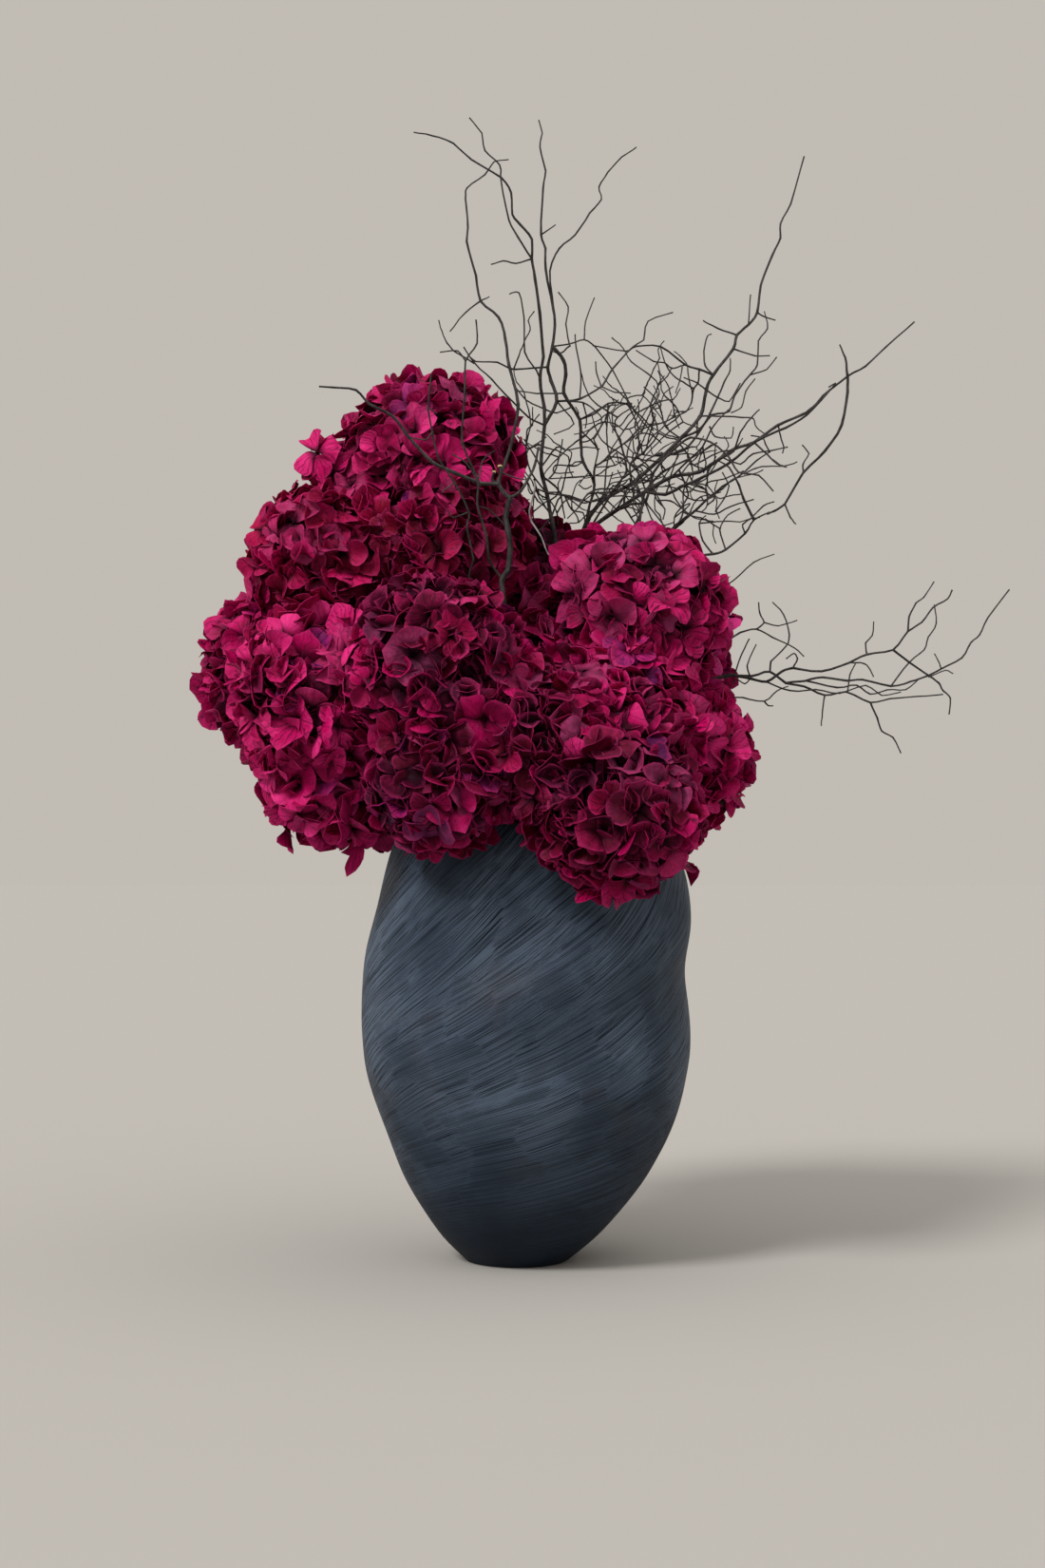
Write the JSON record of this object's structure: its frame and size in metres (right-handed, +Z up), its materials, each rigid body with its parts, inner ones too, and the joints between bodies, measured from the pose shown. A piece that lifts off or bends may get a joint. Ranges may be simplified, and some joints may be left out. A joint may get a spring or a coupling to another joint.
{
  "type": "ikebana arrangement",
  "caption": "Asymmetric arrangement of preserved burgundy hydrangea heads and wiry twisted branches in a tall, hand-built dark stoneware vase.",
  "frame": {"origin": "centre of the vase's flat foot, on the surface that the vase stands on", "axes": "+Z up along the vase, +X to the viewer's right and -Y towards the viewer at the front of the arrangement"},
  "size_m": [0.754, 0.4645, 1.0055],
  "materials": {
    "stoneware": "matte charcoal slip over hand-built stoneware, finely brushed and scored on the slant",
    "foam": "dry floral foam, fine open cells",
    "sepals": "preserved hydrangea sepals, soft and matte, burgundy to magenta with fine veins",
    "stalk": "dried woody flower stem",
    "bark": "dark grey-black willow bark, dull"
  },
  "bodies": {
    "root": {"vase": "stoneware", "foam": "foam", "bloom_top": "sepals", "stem_top": "stalk", "bloom_upper_left": "sepals", "stem_upper_left": "stalk", "bloom_upper_front": "sepals", "stem_upper_front": "stalk", "bloom_far_left": "sepals", "stem_far_left": "stalk", "bloom_left_front": "sepals", "stem_left_front": "stalk", "bloom_lower_left": "sepals", "stem_lower_left": "stalk", "bloom_left_back": "sepals", "stem_left_back": "stalk", "bloom_front": "sepals", "stem_front": "stalk", "bloom_lower_front": "sepals", "stem_lower_front": "stalk", "bloom_centre": "sepals", "stem_centre": "stalk", "bloom_centre_right": "sepals", "stem_centre_right": "stalk", "bloom_right_front": "sepals", "stem_right_front": "stalk", "bloom_lower_right": "sepals", "stem_lower_right": "stalk", "bloom_right": "sepals", "stem_right": "stalk", "bloom_middle": "sepals", "stem_middle": "stalk", "bloom_back_left": "sepals", "stem_back_left": "stalk", "bloom_back_low_left": "sepals", "stem_back_low_left": "stalk", "bloom_back": "sepals", "stem_back": "stalk", "bloom_back_right": "sepals", "stem_back_right": "stalk", "bloom_back_low_right": "sepals", "stem_back_low_right": "stalk", "branch_front": "bark", "branch_tall": "bark", "branch_sweep_high": "bark", "branch_sweep_long": "bark", "branch_sweep_low": "bark", "spray_low": "bark"}
  },
  "joints": []
}
